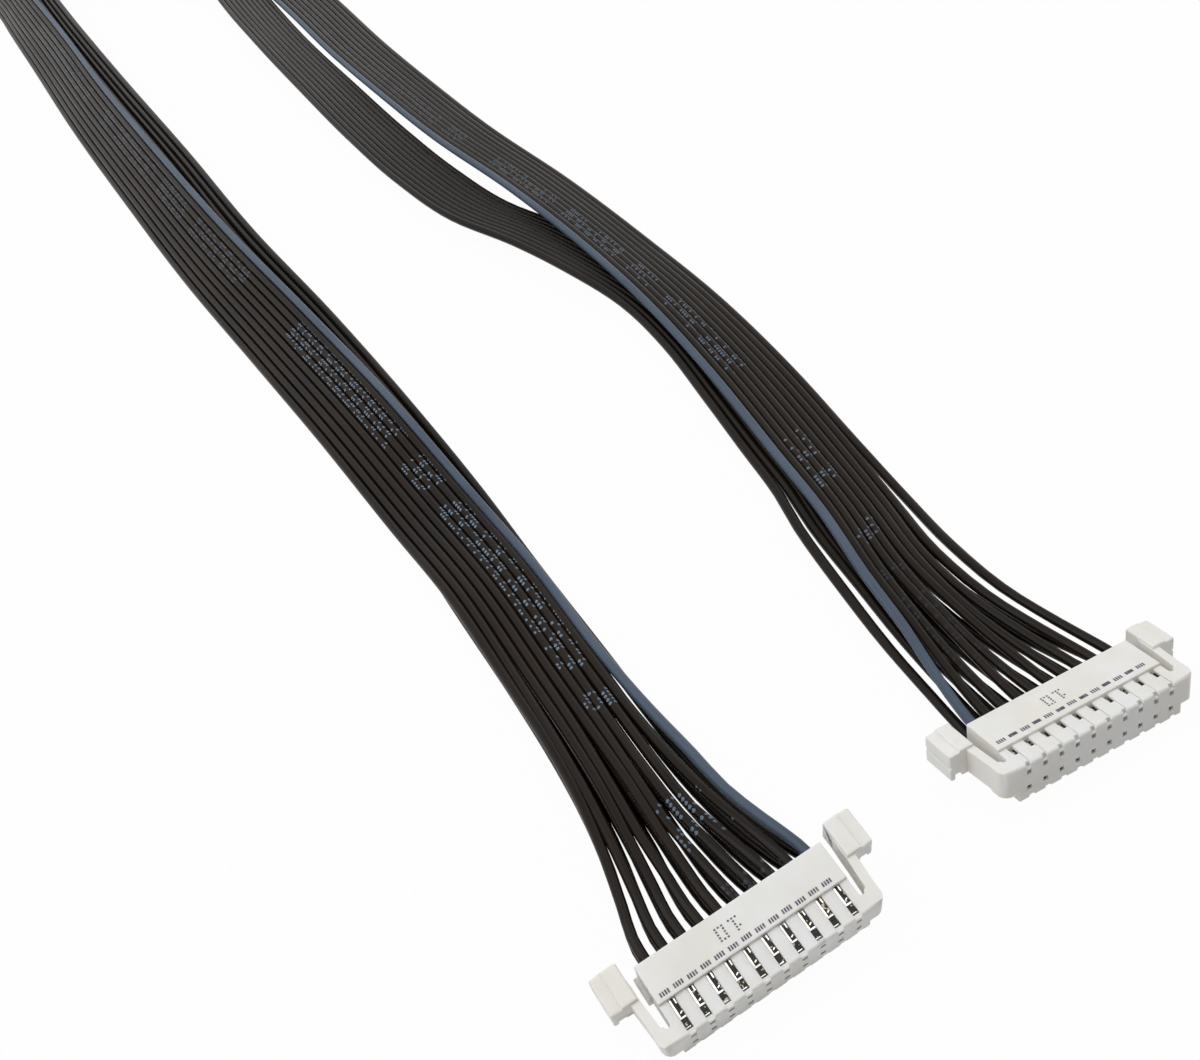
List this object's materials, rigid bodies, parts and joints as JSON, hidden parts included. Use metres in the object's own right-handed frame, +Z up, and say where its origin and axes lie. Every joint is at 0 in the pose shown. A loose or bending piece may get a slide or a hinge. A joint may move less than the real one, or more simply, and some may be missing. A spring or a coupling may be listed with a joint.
{
  "type": "power lead",
  "caption": "Flat lead with two flat ribbons of bonded wires between two white two-row crimp housings with side latch arms, bent back on itself.",
  "frame": {"origin": "on the plane the lead lies on, under the middle of the box around the two housings", "axes": "+Z up; +X from the left housing to the right one, along their rows of contacts; the mating faces look towards -Y and the cables run away towards +Y"},
  "size_m": [0.076, 0.3958, 0.0125],
  "materials": {
    "nylon": "natural white moulded nylon, slightly translucent, satin",
    "tin": "bright tin plate on stamped strip",
    "black_insulation": "black PVC insulation, semi-matt, with a row of pale marks",
    "grey_insulation": "blue-grey PVC insulation, semi-matt"
  },
  "bodies": {
    "root": {"housing_left": "nylon", "housing_right": "nylon", "terminal_left_01": "tin", "terminal_left_02": "tin", "terminal_left_03": "tin", "terminal_left_04": "tin", "terminal_left_05": "tin", "terminal_left_06": "tin", "terminal_left_07": "tin", "terminal_left_08": "tin", "terminal_left_09": "tin", "terminal_left_10": "tin", "terminal_left_11": "tin", "terminal_left_12": "tin", "terminal_left_13": "tin", "terminal_left_14": "tin", "terminal_left_15": "tin", "terminal_left_16": "tin", "terminal_left_17": "tin", "terminal_left_18": "tin", "terminal_left_19": "tin", "terminal_left_20": "tin", "terminal_right_01": "tin", "terminal_right_02": "tin", "terminal_right_03": "tin", "terminal_right_04": "tin", "terminal_right_05": "tin", "terminal_right_06": "tin", "terminal_right_07": "tin", "terminal_right_08": "tin", "terminal_right_09": "tin", "terminal_right_10": "tin", "terminal_right_11": "tin", "terminal_right_12": "tin", "terminal_right_13": "tin", "terminal_right_14": "tin", "terminal_right_15": "tin", "terminal_right_16": "tin", "terminal_right_17": "tin", "terminal_right_18": "tin", "terminal_right_19": "tin", "terminal_right_20": "tin", "upper_ribbon": "black_insulation", "lower_ribbon": "black_insulation", "marker_wire": "grey_insulation"}
  },
  "joints": []
}
